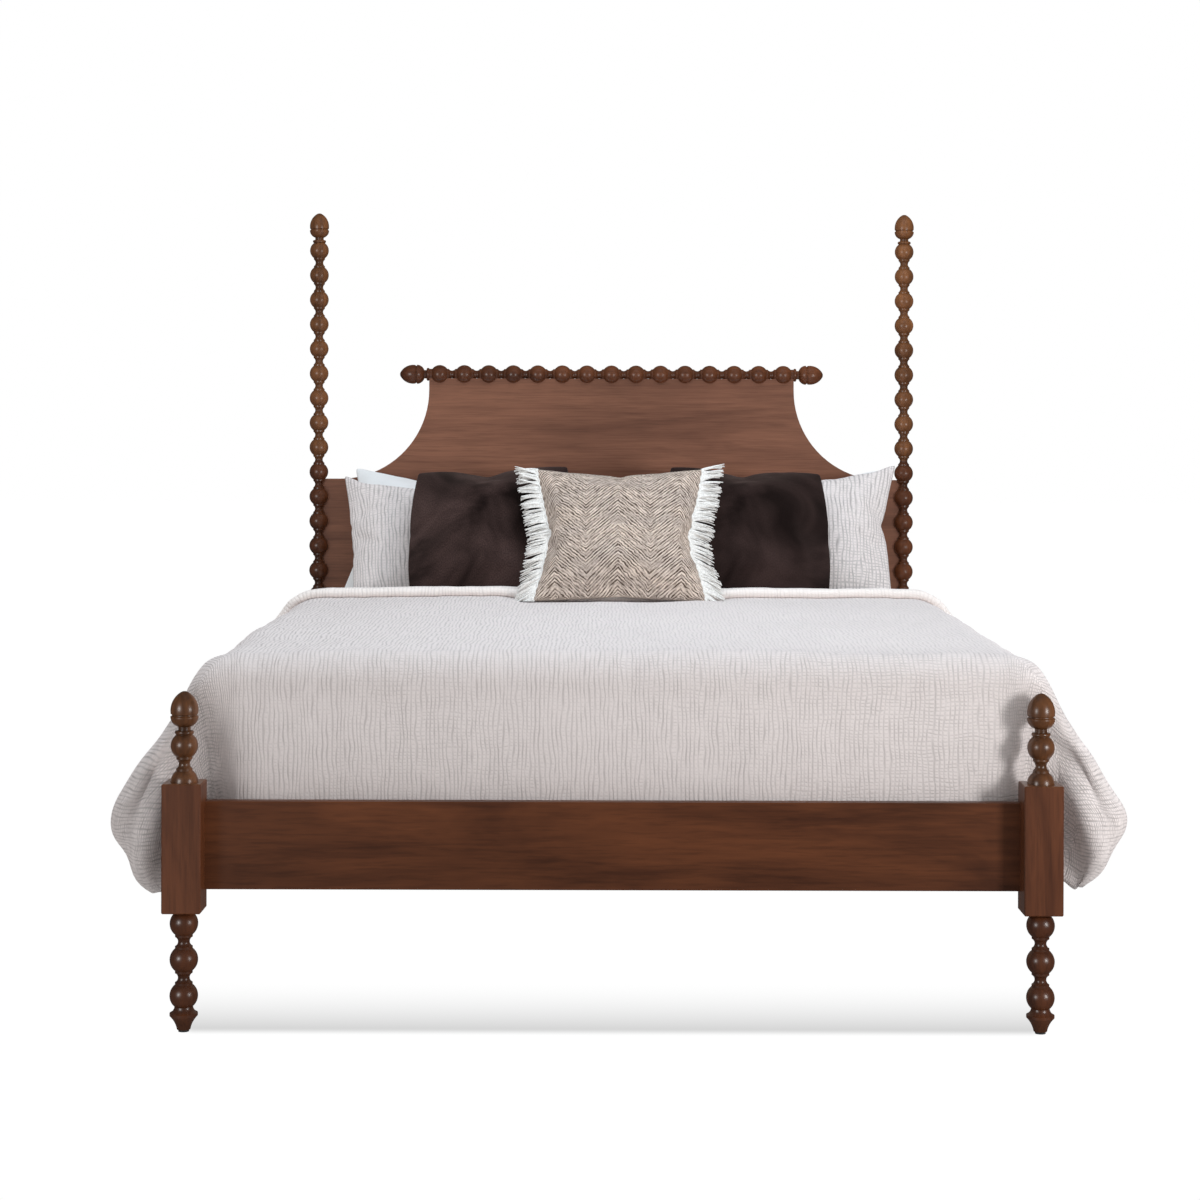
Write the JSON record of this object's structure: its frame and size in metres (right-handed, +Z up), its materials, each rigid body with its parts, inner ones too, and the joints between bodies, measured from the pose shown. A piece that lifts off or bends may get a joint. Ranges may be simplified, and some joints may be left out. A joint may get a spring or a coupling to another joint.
{
  "type": "bed",
  "caption": "Bobbin-turned bed with tall head posts, shaped headboard, hook-on side rails and slats, made up with mattress, duvet, shams and cushions.",
  "frame": {"origin": "on the floor under the middle of the whole bed's outline", "axes": "+X to the right as seen from the foot, +Y from the foot to the head, +Z up"},
  "size_m": [1.9512, 2.1854, 1.7111],
  "materials": {
    "stained_wood": "satin dark brown stain with fine grain",
    "pole_wood": "satin mid brown stain, lighter than the posts",
    "plain_wood": "bare planed softwood",
    "steel": "zinc plated",
    "glide_nylon": "matt black nylon",
    "foundation_cloth": "plain woven ticking",
    "mattress_cloth": "quilted knit",
    "gauze": "crinkled cotton gauze, off white",
    "white_cotton": "smooth white cotton",
    "velvet": "dark brown cotton velvet",
    "herringbone": "woven herringbone in taupe and cream",
    "fringe_yarn": "ivory yarn fringe"
  },
  "bodies": {
    "bed_frame": {"foot_post_left": "stained_wood", "head_post_left": "stained_wood", "head_pole_left": "pole_wood", "side_rail_left": "stained_wood", "ledger_left": "plain_wood", "foot_post_right": "stained_wood", "head_post_right": "stained_wood", "head_pole_right": "pole_wood", "side_rail_right": "stained_wood", "ledger_right": "plain_wood", "hook_plate_foot_left": "steel", "slot_plate_foot_left": "steel", "hook_plate_foot_right": "steel", "slot_plate_foot_right": "steel", "hook_plate_head_left": "steel", "slot_plate_head_left": "steel", "hook_plate_head_right": "steel", "slot_plate_head_right": "steel", "foot_rail": "stained_wood", "head_rail": "stained_wood", "headboard_panel": "stained_wood", "crest_rail": "stained_wood", "slat_1": "plain_wood", "slat_2": "plain_wood", "slat_3": "plain_wood", "slat_4": "plain_wood", "slat_5": "plain_wood", "crest_dowels": "plain_wood", "pole_studs": "steel", "rail_plate_screws": "steel", "post_plate_screws": "steel", "panel_screws": "steel", "ledger_screws": "steel", "slat_screws": "steel", "leg_glides": "glide_nylon", "foundation": "foundation_cloth", "mattress": "mattress_cloth", "duvet": "gauze", "sleeping_pillow_left": "white_cotton", "sleeping_pillow_right": "white_cotton"},
    "woven_cushion_body": {"woven_cushion": "herringbone", "fringe_left": "fringe_yarn", "fringe_right": "fringe_yarn"},
    "velvet_left_body": {"velvet_cushion_left": "velvet"},
    "velvet_right_body": {"velvet_cushion_right": "velvet"},
    "sham_left_body": {"sham_left": "gauze"},
    "sham_right_body": {"sham_right": "gauze"}
  },
  "joints": [
    {"name": "woven_cushion_lift", "type": "slide", "parent": "bed_frame", "child": "woven_cushion_body", "axis": [0, 0.5878, 0.809], "range_m": [0, 0.45]},
    {"name": "velvet_left_lift", "type": "slide", "parent": "bed_frame", "child": "velvet_left_body", "axis": [0, 0.5878, 0.809], "range_m": [0, 0.45]},
    {"name": "velvet_right_lift", "type": "slide", "parent": "bed_frame", "child": "velvet_right_body", "axis": [0, 0.5878, 0.809], "range_m": [0, 0.45]},
    {"name": "sham_left_draw", "type": "slide", "parent": "bed_frame", "child": "sham_left_body", "axis": [-1, 0, 0], "range_m": [0, 0.85]},
    {"name": "sham_right_draw", "type": "slide", "parent": "bed_frame", "child": "sham_right_body", "axis": [1, 0, 0], "range_m": [0, 0.85]}
  ]
}
